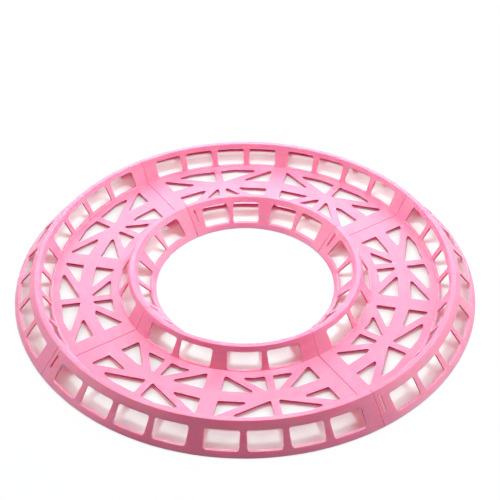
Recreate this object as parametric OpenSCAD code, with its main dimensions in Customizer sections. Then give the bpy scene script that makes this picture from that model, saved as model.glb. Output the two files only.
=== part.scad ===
// Ring-shaped running track, clipped together from four equal moulded quarter sections.
// Each section is one moulding: a lattice floor between two hollow leaning rails.
// The rails are open underneath and have windows through both faces.
// The ring lies on the ground at z = 0 with its centre at the origin. The front section faces -Y.

/* [Ring] */
// Radius of the ring at the foot of its outer rail
outer_r = 240; // [215:1:320]
// Gap between neighbouring sections at a seam
seam_gap = 0.6; // [0.3:0.1:1]

/* [Floor] */
// Width of the running floor between the rails
floor_w = 68.6; // [55:0.2:80]
// Height of the running surface above the ground
floor_z = 4.6; // [3.5:0.1:8]
// Thickness of the floor
floor_t = 2.4; // [1.6:0.1:3]

/* [Rails] */
// Height of the rails above the ground
rail_h = 26.8; // [23:0.2:40]
// Width of the flat rim along the top of a rail
rim_w = 4.4; // [3:0.1:8]
// How far the face towards the track leans back between the floor and the rim
track_lean = 12.3; // [8:0.1:18]
// How far the face away from the track leans in between the ground and the rim
outside_lean = 22.5; // [16:0.1:28]
// Wall thickness of the rails
wall = 2; // [1.6:0.1:2.6]
// Radius of the rounded rim edges
rim_round = 0.9; // [0.3:0.1:1.4]
// Radius of the fillet between floor and rail
crease_round = 0.8; // [0.3:0.1:2]

/* [Rail windows] */
// Height of the sills in the faces towards the track, above the running surface
track_sill = 0.9; // [0.5:0.1:3]
// Height of the sills in the faces away from the track, above the ground
outside_sill = 4.9; // [3.6:0.1:7]
// Height of the plain band between the windows and the top of the rim
top_band = 4.8; // [4:0.1:8]
// Height of that band on the outer face of the ring
outer_top_band = 6.7; // [4:0.1:9]
// Length of the plain panel at each end of a rail, measured along the rim
end_panel = 16.2; // [14:0.1:22]
// Width of the post in the middle of a section, measured along the rim
centre_post = 14.8; // [8:0.1:20]
// Windows in each half of the outer rail
outer_windows = 4; // [2:1:5]
// Windows in each half of the inner rail
inner_windows = 2; // [1:1:3]
// Width of the posts between windows of the outer rail, measured along the rim
outer_post = 6.6; // [5:0.1:10]
// Width of the posts between windows of the inner rail, measured along the rim
inner_post = 6; // [4:0.1:8]
// Corner radius of the windows
window_round = 2.4; // [1:0.1:3.5]

/* [Floor star] */
// Width of the plain floor strip along each seam
end_strip = 16.6; // [12:0.2:24]
// Width of the floor strip across the middle of a section
centre_rib = 16.8; // [8:0.2:24]
// Plain floor between the inner rail and the star holes
inner_margin = 8.8; // [4:0.2:12]
// Plain floor between the outer rail and the star holes
outer_margin = 6.8; // [4:0.2:12]
// Width of the star's bar along the track
along_bar = 13; // [8:0.2:16]
// Width of the star's bar across the track
across_bar = 7.6; // [5:0.2:10]
// Width of the star's diagonal bars
diagonal_bar = 7.4; // [5:0.1:10]
// Distance of the diagonal bars' inner ends from the corners of their bay
inner_inset = 10.8; // [0:0.2:14]
// Distance of the diagonal bars' outer ends from the corners of their bay
outer_inset = 7; // [0:0.2:14]
// Distance of the inner diagonal bars' starts from the middle of the bar across the track
inner_start = 4.6; // [0:0.2:8]
// Distance of the outer diagonal bars' starts from the middle of the bar across the track
outer_start = 1.4; // [0:0.2:8]
// Corner radius of the star holes
hole_round = 1.6; // [0.4:0.1:2]

/* [Snap clips] */
// Width of the keeper strip between a seam and its slot
keeper_w = 4.7; // [3:0.1:6]
// Thickness of the keeper strip
keeper_t = 0.85; // [0.6:0.05:1.2]
// Width of the slot
slot_w = 3; // [2.8:0.1:5]
// Distance of the slot's lower end from the ground, measured up the leaning face
slot_foot = 13.2; // [8:0.1:16]
// Distance of the slot's upper end from the rim, measured down the leaning face
slot_head = 6.4; // [4:0.1:10]
// Thickness of the tongue
tongue_t = 1.8; // [1.2:0.1:2.4]
// Length of the tongue's root inside its own section
root_l = 8; // [5:0.2:10]
// Length of the barb
barb_l = 2.2; // [1.6:0.1:2.4]
// Play between a tongue or its barb and the neighbouring section
clip_play = 0.4; // [0.3:0.05:0.6]

/* [Hidden] */
$fn = 180;

pink = "#F29BC4";
// Reach of a cut past the surface that it opens
past = 1;
// Overlap of a tongue with the wall that it grows from
bite = 0.5;
quarter = 90;
// Facets of a full circle in small rounded corners
corner_fn = 24;

// A rail's profile runs from its foot, w = 0, towards the track, w = rail_w
rail_w = outside_lean + rim_w + track_lean;
inner_r = outer_r - floor_w - 2 * rail_w;
floor_in_r = inner_r + rail_w;
floor_out_r = outer_r - rail_w;
// Lean of the two faces, as run over rise
outside_slope = outside_lean / rail_h;
track_slope = track_lean / (rail_h - floor_z);
outside_angle = atan(outside_slope);
// Level thickness of the leaning walls
outside_wall = wall * sqrt(1 + outside_slope * outside_slope);
track_wall = wall * sqrt(1 + track_slope * track_slope);

// Sill and top height of the windows in the faces towards the track, the middle and the outside
track_window = [floor_z + track_sill, rail_h - top_band];
hole_window = [outside_sill, rail_h - top_band];
outer_window = [outside_sill, rail_h - outer_top_band];
// Middle of the rim, where the cuts through a rail's two faces meet
rim_mid_w = outside_lean + rim_w / 2;

slot_l = rail_h / cos(outside_angle) - slot_foot - slot_head;
tongue_l = keeper_w + clip_play + barb_l;
barb_rise = wall - keeper_t - clip_play;

star_in_r = floor_in_r + inner_margin;
star_out_r = floor_out_r - outer_margin;
hub_r = (star_in_r + star_out_r) / 2;

function track_face_w(z) = rail_w - track_slope * (z - floor_z);
function outside_face_w(z) = outside_slope * z;
function mid(span) = (span[0] + span[1]) / 2;
// Angle that a length along a circle of radius r takes up
function arc_angle(l, r) = l / r * 180 / PI;
// Angle at radius r of a line parallel to a radial seam at distance d from it
function offset_angle(d, r) = asin(d / r);

// Places a rail's profile or parts: w becomes the distance from the foot towards the track
module at_inner_foot() {
    translate([inner_r, 0, 0])
        children();
}

module at_outer_foot() {
    translate([outer_r, 0, 0])
        mirror([1, 0, 0])
            children();
}

// Both ends of a section, with +y running into it
module at_start_seam() {
    children();
}

module at_end_seam() {
    rotate(quarter)
        mirror([0, 1, 0])
            children();
}

// Frame on a rail's outside face: x is the depth below the face, z runs up the lean
module on_outside_face() {
    rotate([0, outside_angle, 0])
        children();
}

// Upper surface of the whole section, carried on below the ground so that only rims and creases get rounded
module skin_profile() {
    below = rail_h;
    foot_run = outside_slope * below;
    rim_out = outside_lean + rim_w;
    intersection() {
        square([outer_r + past, rail_h + past]);
        offset(r = -crease_round, $fn = corner_fn)
            offset(delta = crease_round)
                offset(r = rim_round, $fn = corner_fn)
                    offset(delta = -rim_round)
                        polygon([
                            [inner_r - foot_run, -below],
                            [inner_r + outside_lean, rail_h],
                            [inner_r + rim_out, rail_h],
                            [floor_in_r, floor_z],
                            [floor_out_r, floor_z],
                            [outer_r - rim_out, rail_h],
                            [outer_r - outside_lean, rail_h],
                            [outer_r + foot_run, -below]
                        ]);
    }
}

// Hollow of a rail between its two walls, open to the ground
module rail_hollow() {
    roof_z = rail_h - wall;
    floor_under_z = floor_z - floor_t;
    polygon([
        [outside_face_w(-past) + outside_wall, -past],
        [outside_face_w(roof_z) + outside_wall, roof_z],
        [track_face_w(roof_z) - track_wall, roof_z],
        [track_face_w(floor_under_z) - track_wall, floor_under_z],
        [track_face_w(floor_under_z) - track_wall, -past]
    ]);
}

// Cross-section of the moulding: the skin with both rail hollows and the space under the floor taken out
module section_profile() {
    under_in = floor_in_r - track_wall * 2;
    under_out = floor_out_r + track_wall * 2;
    difference() {
        skin_profile();
        at_inner_foot() rail_hollow();
        at_outer_foot() rail_hollow();
        translate([under_in, -past])
            square([under_out - under_in, past + floor_z - floor_t]);
    }
}

module window_cut(width, length, window) {
    rotate([90, 0, 90])
        linear_extrude(length)
            offset(r = window_round, $fn = corner_fn)
                translate([-width / 2 + window_round, window[0] + window_round])
                    square([width - 2 * window_round, window[1] - window[0] - 2 * window_round]);
}

// Windows of one rail, cut from the middle of its rim through the face at low_r and the face at high_r
module rail_windows(per_half, post, rim_r, low_r, low_window, high_r, high_window) {
    half_l = rim_r * quarter / 2 * PI / 180;
    window_l = (half_l - end_panel - centre_post / 2 - (per_half - 1) * post) / per_half;
    spread = arc_angle(window_l, rim_r);
    for (side = [-1, 1], i = [0 : per_half - 1]) {
        from_middle = centre_post / 2 + window_l / 2 + i * (window_l + post);
        angle = quarter / 2 + side * arc_angle(from_middle, rim_r);
        rotate(angle) {
            translate([low_r - rail_w / 2, 0, 0])
                window_cut(2 * low_r * sin(spread / 2), rim_r - low_r + rail_w / 2, low_window);
            translate([rim_r, 0, 0])
                window_cut(2 * high_r * sin(spread / 2), high_r - rim_r + rail_w / 2, high_window);
        }
    }
}

// Floor bay bounded by the seam strip, the middle rib and two arcs
module star_bay() {
    rib_line = quarter / 2;
    intersection() {
        difference() {
            circle(star_out_r);
            circle(star_in_r);
        }
        translate([0, end_strip])
            square(outer_r);
        rotate(rib_line)
            translate([0, -outer_r - centre_rib / 2])
                square(outer_r);
    }
}

// Bars of the star: one along the track, one across it and four from beside their crossing to the corners
module star_bars() {
    rib_line = quarter / 2;
    hub_angle = (offset_angle(end_strip, hub_r) + rib_line - offset_angle(centre_rib / 2, hub_r)) / 2;
    difference() {
        circle(hub_r + along_bar / 2);
        circle(hub_r - along_bar / 2);
    }
    rotate(hub_angle)
        translate([0, -across_bar / 2])
            square([outer_r, across_bar]);
    for (edge = [[star_in_r, inner_inset, inner_start], [star_out_r, outer_inset, outer_start]]) {
        r = edge[0];
        inset = arc_angle(edge[1], r);
        spread = arc_angle(edge[2], hub_r);
        seam_angle = offset_angle(end_strip, r) + inset;
        rib_angle = rib_line - offset_angle(centre_rib / 2, r) - inset;
        for (angles = [[hub_angle - spread, seam_angle], [hub_angle + spread, rib_angle]]) {
            start = hub_r * [cos(angles[0]), sin(angles[0])];
            run = r * [cos(angles[1]), sin(angles[1])] - start;
            translate(start)
                rotate(atan2(run[1], run[0]))
                    translate([0, -diagonal_bar / 2])
                        square([floor_w, diagonal_bar]);
        }
    }
}

module star_holes() {
    offset(r = hole_round, $fn = corner_fn)
        offset(delta = -hole_round)
            difference() {
                star_bay();
                star_bars();
            }
}

// Two mirrored stars cut through the floor of a section
module floor_stars() {
    translate([0, 0, -past])
        linear_extrude(floor_z + 2 * past) {
            star_holes();
            rotate(quarter)
                mirror([0, 1])
                    star_holes();
        }
}

// Slot in a rail's outside face, with a groove under the keeper strip that lets the barb in
module clip_slot() {
    on_outside_face() {
        translate([-past, keeper_w, slot_foot])
            cube([wall + 2 * past, slot_w, slot_l]);
        translate([keeper_t, -past, slot_foot])
            cube([wall - keeper_t + past, keeper_w + 2 * past, slot_l]);
    }
}

// Tongue that reaches under the neighbour's outside face, with a ramped barb in the neighbour's slot
module clip_tongue() {
    top = wall + clip_play;
    catch_y = -keeper_w - clip_play;
    ramp_y = catch_y - barb_l / 3;
    on_outside_face()
        translate([0, 0, slot_foot + clip_play])
            linear_extrude(slot_l - 2 * clip_play) {
                translate([top, -tongue_l])
                    square([tongue_t, tongue_l + root_l]);
                translate([wall - bite, seam_gap / 2])
                    square([bite + clip_play + tongue_t, root_l - seam_gap / 2]);
                polygon([
                    [top + bite, catch_y],
                    [wall - barb_rise, catch_y],
                    [wall - barb_rise, ramp_y],
                    [top, -tongue_l],
                    [top + bite, -tongue_l]
                ]);
            }
}

// Trims both end faces back from their seams
module seam_trims() {
    trim_l = outer_r + past;
    for (end = [0, 1])
        rotate(end * quarter)
            mirror([0, end, 0])
                translate([0, -past, -past])
                    cube([trim_l, past + seam_gap / 2, rail_h + 2 * past]);
}

// One quarter of the ring, from the +X axis round to the +Y axis
module track_section() {
    inner_rim_r = inner_r + rim_mid_w;
    outer_rim_r = outer_r - rim_mid_w;
    difference() {
        rotate_extrude(angle = quarter)
            section_profile();
        rail_windows(inner_windows, inner_post, inner_rim_r,
            inner_r + outside_face_w(mid(hole_window)), hole_window,
            inner_r + track_face_w(mid(track_window)), track_window);
        rail_windows(outer_windows, outer_post, outer_rim_r,
            outer_r - track_face_w(mid(track_window)), track_window,
            outer_r - outside_face_w(mid(outer_window)), outer_window);
        floor_stars();
        at_start_seam() at_outer_foot() clip_slot();
        at_end_seam() at_inner_foot() clip_slot();
        seam_trims();
    }
    at_end_seam() at_outer_foot() clip_tongue();
    at_start_seam() at_inner_foot() clip_tongue();
}

// Places a section with its middle towards the given heading
module placed_section(heading) {
    color(pink)
        rotate(heading - quarter / 2)
            track_section();
}

module track_section_front() {
    placed_section(-90);
}

module track_section_right() {
    placed_section(0);
}

module track_section_back() {
    placed_section(90);
}

module track_section_left() {
    placed_section(180);
}

track_section_front();
track_section_right();
track_section_back();
track_section_left();
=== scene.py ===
import math

import bpy
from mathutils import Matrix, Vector

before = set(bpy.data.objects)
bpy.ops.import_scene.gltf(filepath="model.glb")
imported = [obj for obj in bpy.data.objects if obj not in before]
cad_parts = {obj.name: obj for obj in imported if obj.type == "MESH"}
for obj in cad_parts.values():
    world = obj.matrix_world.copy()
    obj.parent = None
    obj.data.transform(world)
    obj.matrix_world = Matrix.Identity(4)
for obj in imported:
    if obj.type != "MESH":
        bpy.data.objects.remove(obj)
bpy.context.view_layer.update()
scene = bpy.context.scene

# Track sections
# Four equal quarters of the ring, each one injection moulding of pink polypropylene: a lattice floor between
# two hollow rails with windows. They clip together end to end and stand on the lower edges of the rails.

# Sizes of the moulding, and how far its edges are eased.
MM = 0.001
FLOOR_Z = 4.6 * MM
HOLES_UP_TO = FLOOR_Z + 0.1 * MM
WINDOWS_FROM = FLOOR_Z + 0.2 * MM
SEAM_GAP = 0.6 * MM
LEFT_SHARP = 3 * SEAM_GAP
CLIP_REACH = 14 * MM
WINDOW_EASE = 0.4 * MM
OTHER_EASE = 0.17 * MM
SHARP = math.radians(32)
SAME_POINT = 0.002 * MM
SAME_PLANE = math.radians(0.05)
LEAST_WEIGHT = 0.01

# The plastic: its clouds, flow lines and grain, and how light goes into it.
CLOUD = 40 * MM
CLOUD_SHARE = 0.7
TINT_SPAN = (0.55, 1.15)
FLOW_LANE = 3 * MM
FLOW_TURNS = 3.0
GRAIN = 1.2 * MM
GRAIN_DEPTH = 0.1 * MM
GRAIN_STRENGTH = 0.12
GLOSS_SPAN = (-0.05, 0.06)
UPRIGHT_SPAN = (0.15, 0.5)
SCATTER = 3.2 * MM
SCATTER_BY_COLOUR = (1.0, 0.11, 0.22)
PLASTIC_IOR = 1.49


def linear(hex_colour):
    """Linear RGBA of an sRGB hex colour such as "#F29BC4"."""
    channels = [int(hex_colour[i:i + 2], 16) / 255 for i in (1, 3, 5)]
    return [c / 12.92 if c <= 0.04045 else ((c + 0.055) / 1.055) ** 2.4 for c in channels] + [1.0]


def add_node(tree, kind, settings=(), links=()):
    """Adds a node, sets its properties and inputs, and links inputs to outputs, by name or by number."""
    node = tree.nodes.new(kind)
    for name, value in dict(settings).items():
        if isinstance(name, int) or name in node.inputs:
            node.inputs[name].default_value = value
        else:
            setattr(node, name, value)
    for name, source in dict(links).items():
        tree.links.new(source, node.inputs[name])
    return node


def edge_easing():
    """Node group that says how far each outer edge is eased: the windows' edges most, the seams' not at all.

    Sharp edges that aren't eased stay crisp in the shading.
    """
    group = bpy.data.node_groups.new("edge_easing", "GeometryNodeTree")
    for way in ("INPUT", "OUTPUT"):
        group.interface.new_socket("Geometry", in_out=way, socket_type="NodeSocketGeometry")
    moulding = add_node(group, "NodeGroupInput")
    angle = add_node(group, "GeometryNodeInputMeshEdgeAngle")
    sharp = add_node(group, "ShaderNodeMath", {"operation": "GREATER_THAN", 1: SHARP},
                     {0: angle.outputs["Signed Angle"]})

    # The seams lie on the diagonals, so the gap between an edge's |x| and |y| is 1.41 times its distance
    # from the nearest one. LEFT_SHARP and CLIP_REACH are measured by that gap.
    place = add_node(group, "GeometryNodeInputPosition")
    size = add_node(group, "ShaderNodeVectorMath", {"operation": "ABSOLUTE"}, {0: place.outputs["Position"]})
    axis = add_node(group, "ShaderNodeSeparateXYZ", {}, {0: size.outputs["Vector"]})
    from_seam = add_node(group, "ShaderNodeMath", {"operation": "SUBTRACT"},
                         {0: axis.outputs["X"], 1: axis.outputs["Y"]})
    clear = add_node(group, "ShaderNodeMath", {"operation": "ABSOLUTE"}, {0: from_seam.outputs["Value"]})
    off_clip = add_node(group, "ShaderNodeMath", {"operation": "GREATER_THAN", 1: CLIP_REACH},
                        {0: clear.outputs["Value"]})
    above_floor = add_node(group, "ShaderNodeMath", {"operation": "GREATER_THAN", 1: WINDOWS_FROM},
                           {0: axis.outputs["Z"]})
    window = add_node(group, "ShaderNodeMath", {"operation": "MULTIPLY"},
                      {0: off_clip.outputs["Value"], 1: above_floor.outputs["Value"]})
    share = add_node(group, "ShaderNodeMapRange", {"To Min": OTHER_EASE / WINDOW_EASE},
                     {"Value": window.outputs["Value"]})
    eased = add_node(group, "ShaderNodeMath", {"operation": "MULTIPLY"},
                     {0: sharp.outputs["Value"], 1: share.outputs["Result"]})
    off_end = add_node(group, "ShaderNodeMath", {"operation": "GREATER_THAN", 1: LEFT_SHARP},
                       {0: clear.outputs["Value"]})
    weight = add_node(group, "ShaderNodeMath", {"operation": "MULTIPLY"},
                      {0: eased.outputs["Value"], 1: off_end.outputs["Value"]})
    store = add_node(group, "GeometryNodeStoreNamedAttribute",
                     {"data_type": "FLOAT", "domain": "EDGE", "Name": "bevel_weight_edge"},
                     {"Geometry": moulding.outputs["Geometry"], "Value": weight.outputs["Value"]})

    corner = add_node(group, "ShaderNodeMath", {"operation": "GREATER_THAN", 1: SHARP},
                      {0: angle.outputs["Unsigned Angle"]})
    uneased = add_node(group, "ShaderNodeMath", {"operation": "LESS_THAN", 1: LEAST_WEIGHT},
                       {0: weight.outputs["Value"]})
    crisp = add_node(group, "ShaderNodeMath", {"operation": "MULTIPLY"},
                     {0: corner.outputs["Value"], 1: uneased.outputs["Value"]})
    crease = add_node(group, "GeometryNodeSetShadeSmooth", {"domain": "EDGE", "Shade Smooth": False},
                      {"Geometry": store.outputs["Geometry"], "Selection": crisp.outputs["Value"]})
    add_node(group, "NodeGroupOutput", {}, {"Geometry": crease.outputs["Geometry"]})
    return group


def moulded_polypropylene(name, shade, deep_shade, painted_shade, passed_shade, roughness):
    """Satin translucent plastic: soft sheen, faint clouds and flow lines in the pink, and a fine even grain.

    The edges round the floor's holes and its underside take a painted shade: a deeper pink.
    """
    material = bpy.data.materials.new(name)
    material.use_nodes = True
    tree = material.node_tree
    tree.nodes.clear()
    place = add_node(tree, "ShaderNodeTexCoord")
    clouds = add_node(tree, "ShaderNodeTexNoise", {"Scale": 1 / CLOUD, "Detail": 2.0},
                      {"Vector": place.outputs["Object"]})

    # Flow lines run round the ring, as the melt does along a section, drawn coarser than real.
    level = add_node(tree, "ShaderNodeVectorMath", {"operation": "MULTIPLY", 1: (1, 1, 0)},
                     {0: place.outputs["Object"]})
    radius = add_node(tree, "ShaderNodeVectorMath", {"operation": "LENGTH"}, {0: level.outputs["Vector"]})
    heading = add_node(tree, "ShaderNodeVectorMath", {"operation": "NORMALIZE"},
                       {0: level.outputs["Vector"]})
    turns = add_node(tree, "ShaderNodeVectorMath", {"operation": "SCALE", "Scale": FLOW_TURNS},
                     {0: heading.outputs["Vector"]})
    lanes = add_node(tree, "ShaderNodeMath", {"operation": "DIVIDE", 1: FLOW_LANE},
                     {0: radius.outputs["Value"]})
    lane = add_node(tree, "ShaderNodeCombineXYZ", {}, {"Z": lanes.outputs["Value"]})
    along = add_node(tree, "ShaderNodeVectorMath", {"operation": "ADD"},
                     {0: turns.outputs["Vector"], 1: lane.outputs["Vector"]})
    flow = add_node(tree, "ShaderNodeTexNoise", {"Scale": 1.0, "Detail": 3.0},
                    {"Vector": along.outputs["Vector"]})
    tint = add_node(tree, "ShaderNodeMath", {"operation": "MULTIPLY_ADD", 1: CLOUD_SHARE},
                    {0: clouds.outputs["Fac"], 2: flow.outputs["Fac"]})
    share = add_node(tree, "ShaderNodeMapRange", {"From Min": TINT_SPAN[0], "From Max": TINT_SPAN[1]},
                     {"Value": tint.outputs["Value"]})
    colour = add_node(tree, "ShaderNodeMix",
                      {"data_type": "RGBA", 6: linear(deep_shade), 7: linear(shade)},
                      {0: share.outputs["Result"]})

    # Painted shade: faces no higher than the floor that are upright or face down take a deeper pink: the
    # edges of its holes, its underside and the low insides of the rails.
    facing = add_node(tree, "ShaderNodeSeparateXYZ", {}, {0: place.outputs["Normal"]})
    upright = add_node(tree, "ShaderNodeMapRange",
                       {"From Min": UPRIGHT_SPAN[0], "From Max": UPRIGHT_SPAN[1],
                        "To Min": 1.0, "To Max": 0.0},
                       {"Value": facing.outputs["Z"]})
    spot = add_node(tree, "ShaderNodeSeparateXYZ", {}, {0: place.outputs["Object"]})
    in_floor = add_node(tree, "ShaderNodeMath", {"operation": "LESS_THAN", 1: HOLES_UP_TO},
                        {0: spot.outputs["Z"]})
    painted_shade_share = add_node(tree, "ShaderNodeMath", {"operation": "MULTIPLY"},
                         {0: upright.outputs["Result"], 1: in_floor.outputs["Value"]})
    painted_shade_colour = add_node(tree, "ShaderNodeMix", {"data_type": "RGBA", 7: linear(painted_shade)},
                   {0: painted_shade_share.outputs["Value"], 6: colour.outputs[2]})

    # The mould leaves a grain of about 0.1 mm, too fine to show here, so it is drawn coarser than real.
    gloss = add_node(tree, "ShaderNodeMapRange",
                     {"From Min": 0.3, "From Max": 0.7,
                      "To Min": roughness + GLOSS_SPAN[0], "To Max": roughness + GLOSS_SPAN[1]},
                     {"Value": flow.outputs["Fac"]})
    grain = add_node(tree, "ShaderNodeTexNoise", {"Scale": 1 / GRAIN, "Detail": 1.0},
                     {"Vector": place.outputs["Object"]})
    relief = add_node(tree, "ShaderNodeBump", {"Strength": GRAIN_STRENGTH, "Distance": GRAIN_DEPTH},
                      {"Height": grain.outputs["Fac"]})
    plastic = add_node(tree, "ShaderNodeBsdfPrincipled",
                       {"IOR": PLASTIC_IOR, "Subsurface Weight": 1.0,
                        "Subsurface Radius": SCATTER_BY_COLOUR, "Subsurface Scale": SCATTER},
                       {"Base Color": painted_shade_colour.outputs[2], "Roughness": gloss.outputs["Result"],
                        "Normal": relief.outputs["Normal"]})

    # Lamp light that comes through a wall is tinted, which makes the ring's shadows crimson and not grey.
    ray = add_node(tree, "ShaderNodeLightPath")
    passing = add_node(tree, "ShaderNodeBsdfTransparent", {"Color": linear(passed_shade)})
    surface = add_node(tree, "ShaderNodeMixShader", {},
                       {0: ray.outputs["Is Shadow Ray"], 1: plastic.outputs["BSDF"],
                        2: passing.outputs["BSDF"]})
    add_node(tree, "ShaderNodeOutputMaterial", {}, {"Surface": surface.outputs["Shader"]})
    return material


# Straight from the mould: an even satin pink that glows a little where light gets into it. #D84E92 is the
# painted shade on its low upright and downward faces.
pink = moulded_polypropylene("pink_moulded_polypropylene",
                             "#F494B3", "#ED89AB", "#D84E92", "#D45A86", 0.36)
# The eased edges: a paler line round the openings that is a painted highlight, and slightly smoother,
# with the same painted shade low down.
painted_edge_highlight = moulded_polypropylene("pink_polypropylene_painted_edge_highlight",
                               "#F8A7C2", "#F29CB9", "#D84E92", "#D45A86", 0.3)
easing = edge_easing()
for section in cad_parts.values():
    section.data.materials.clear()
    section.data.materials.append(pink)
    section.data.materials.append(painted_edge_highlight)
    weld = section.modifiers.new("join_faces", "WELD")
    weld.merge_threshold = SAME_POINT
    merge = section.modifiers.new("merge_flats", "DECIMATE")
    merge.decimate_type = "DISSOLVE"
    merge.angle_limit = SAME_PLANE
    section.modifiers.new("edge_easing", "NODES").node_group = easing
    ease = section.modifiers.new("eased_edges", "BEVEL")
    ease.width = WINDOW_EASE
    ease.segments = 3
    ease.limit_method = "WEIGHT"
    ease.use_clamp_overlap = False
    ease.loop_slide = False
    ease.harden_normals = True
    # The eased edges take the second material, whose paler pink is a painted highlight.
    ease.material = 1
    normals = section.modifiers.new("even_shading", "WEIGHTED_NORMAL")
    normals.keep_sharp = True

# Table
# A smooth sheet of white paper that the ring lies on, running out of sight all round. It is set dressing and
# no part of the object.

REACH = 6.0
corners = [(-REACH, -REACH, 0), (REACH, -REACH, 0), (REACH, REACH, 0), (-REACH, REACH, 0)]
table_mesh = bpy.data.meshes.new("studio_table")
table_mesh.from_pydata(corners, [], [(0, 1, 2, 3)])
table = bpy.data.objects.new("studio_table", table_mesh)
scene.collection.objects.link(table)

# Matt paper: the eye sees it white, while it throws back less light than that on the ring. LIFT gives, by
# distance from the ring's centre in millimetres, the share of plain white laid over its shading.
LIFT_REACH = 300
LIFT = [(90, 0.92), (93, 0.0), (131, 0.0), (137, 0.05), (195, 0.05), (201, 0.0), (240, 0.0), (242, 0.92)]
paper = bpy.data.materials.new("matt_white_paper")
paper.use_nodes = True
tree = paper.node_tree
tree.nodes.clear()
ray = add_node(tree, "ShaderNodeLightPath")
mirrored = add_node(tree, "ShaderNodeMath", {"operation": "MAXIMUM"},
                    {0: ray.outputs["Is Glossy Ray"], 1: ray.outputs["Is Transmission Ray"]})
seen = add_node(tree, "ShaderNodeMath", {"operation": "MAXIMUM"},
                {0: ray.outputs["Is Camera Ray"], 1: mirrored.outputs["Value"]})
shade = add_node(tree, "ShaderNodeMix",
                 {"data_type": "RGBA", 6: linear("#5A5A5A"), 7: linear("#DDE7E5")},
                 {0: seen.outputs["Value"]})
matt = add_node(tree, "ShaderNodeBsdfDiffuse", {}, {"Color": shade.outputs[2]})
place = add_node(tree, "ShaderNodeNewGeometry")
from_centre = add_node(tree, "ShaderNodeVectorMath", {"operation": "LENGTH"}, {0: place.outputs["Position"]})
along = add_node(tree, "ShaderNodeMath", {"operation": "DIVIDE", 1: LIFT_REACH * MM},
                 {0: from_centre.outputs["Value"]})
rings = add_node(tree, "ShaderNodeValToRGB", {}, {"Fac": along.outputs["Value"]})
rings.color_ramp.interpolation = "EASE"
while len(rings.color_ramp.elements) < len(LIFT):
    rings.color_ramp.elements.new(1.0)
for stop, (radius, share) in zip(rings.color_ramp.elements, LIFT):
    stop.position = radius / LIFT_REACH
    stop.color = (share, share, share, 1.0)
lifted = add_node(tree, "ShaderNodeMath", {"operation": "MULTIPLY"},
                  {0: rings.outputs["Color"], 1: seen.outputs["Value"]})
white = add_node(tree, "ShaderNodeEmission", {"Color": linear("#FFFFFF"), "Strength": 1.0})
sheet = add_node(tree, "ShaderNodeMixShader", {},
                 {0: lifted.outputs["Value"], 1: matt.outputs["BSDF"], 2: white.outputs["Emission"]})

# From below the paper is clear to the eye, so that it doesn't hide the ring's underside.
from_below = add_node(tree, "ShaderNodeMath", {"operation": "MULTIPLY"},
                      {0: place.outputs["Backfacing"], 1: ray.outputs["Is Camera Ray"]})
clear = add_node(tree, "ShaderNodeBsdfTransparent")
one_way = add_node(tree, "ShaderNodeMixShader", {},
                   {0: from_below.outputs["Value"], 1: sheet.outputs["Shader"], 2: clear.outputs["BSDF"]})
add_node(tree, "ShaderNodeOutputMaterial", {}, {"Surface": one_way.outputs["Shader"]})
table_mesh.materials.append(paper)

# Light
# A white photo tent whose back and sides glow and whose front is dark. A small softbox hangs over the middle
# of the ring, a wide one stands low behind it, and a large one stands on either side.

VIEW_AZIMUTH = 11.75
VIEW_ELEVATION = 41.9
TENT_GLOW = 0.4
TENT_FADE = (-0.5, 0.4)


def around(azimuth, elevation, distance):
    """Point at an azimuth from the -Y side, an elevation and a distance from the ring's centre."""
    a, e = math.radians(azimuth), math.radians(elevation)
    return Vector((math.sin(a) * math.cos(e), -math.cos(a) * math.cos(e), math.sin(e))) * distance


def softbox(name, azimuth, elevation, distance, size, radiance):
    """Area lamp aimed at the ring's centre, its azimuth counted from the camera's."""
    lamp = bpy.data.lights.new(name, "AREA")
    lamp.shape = "RECTANGLE"
    lamp.size, lamp.size_y = size
    lamp.energy = radiance * math.pi * size[0] * size[1]
    box = bpy.data.objects.new(name, lamp)
    box.location = around(VIEW_AZIMUTH + azimuth, elevation, distance)
    box.rotation_euler = (-box.location).to_track_quat("-Z", "Y").to_euler()
    scene.collection.objects.link(box)


softbox("top_softbox", 180, 84, 0.55, (0.12, 0.12), 42)
softbox("back_softbox", 180, 27, 1.6, (1.6, 0.7), 5.5)
softbox("left_softbox", -90, 30, 1.4, (1.4, 1.2), 2.35)
softbox("right_softbox", 90, 30, 1.4, (1.4, 1.2), 3.5)
scene.world = bpy.data.worlds.new("photo_tent")
scene.world.use_nodes = True
tree = scene.world.node_tree
tree.nodes.clear()
direction = add_node(tree, "ShaderNodeTexCoord")
towards_front = add_node(tree, "ShaderNodeVectorMath",
                         {"operation": "DOT_PRODUCT", 1: around(VIEW_AZIMUTH, 0, 1)},
                         {0: direction.outputs["Generated"]})
tent = add_node(tree, "ShaderNodeMapRange",
                {"interpolation_type": "SMOOTHSTEP", "From Min": TENT_FADE[0], "From Max": TENT_FADE[1],
                 "To Min": TENT_GLOW, "To Max": 0.0},
                {"Value": towards_front.outputs["Value"]})
glow = add_node(tree, "ShaderNodeBackground", {"Color": linear("#FFFFFF")},
                {"Strength": tent.outputs["Result"]})
add_node(tree, "ShaderNodeOutputWorld", {}, {"Surface": glow.outputs["Background"]})

# Camera
# A long lens on a stand, about a metre and a half away, that looks down on the front of the ring.
# It is set for a square picture, as in a product photograph.

CAMERA_DISTANCE = 1.488
AIM = Vector((0.0, 0.025, 0.027))
lens = bpy.data.cameras.new("camera")
lens.sensor_width = 36
lens.lens = 102
camera = bpy.data.objects.new("camera", lens)
camera.location = around(VIEW_AZIMUTH, VIEW_ELEVATION, CAMERA_DISTANCE)
camera.rotation_euler = (AIM - camera.location).to_track_quat("-Z", "Y").to_euler()
scene.collection.objects.link(camera)
scene.camera = camera
scene.view_settings.view_transform = "Standard"
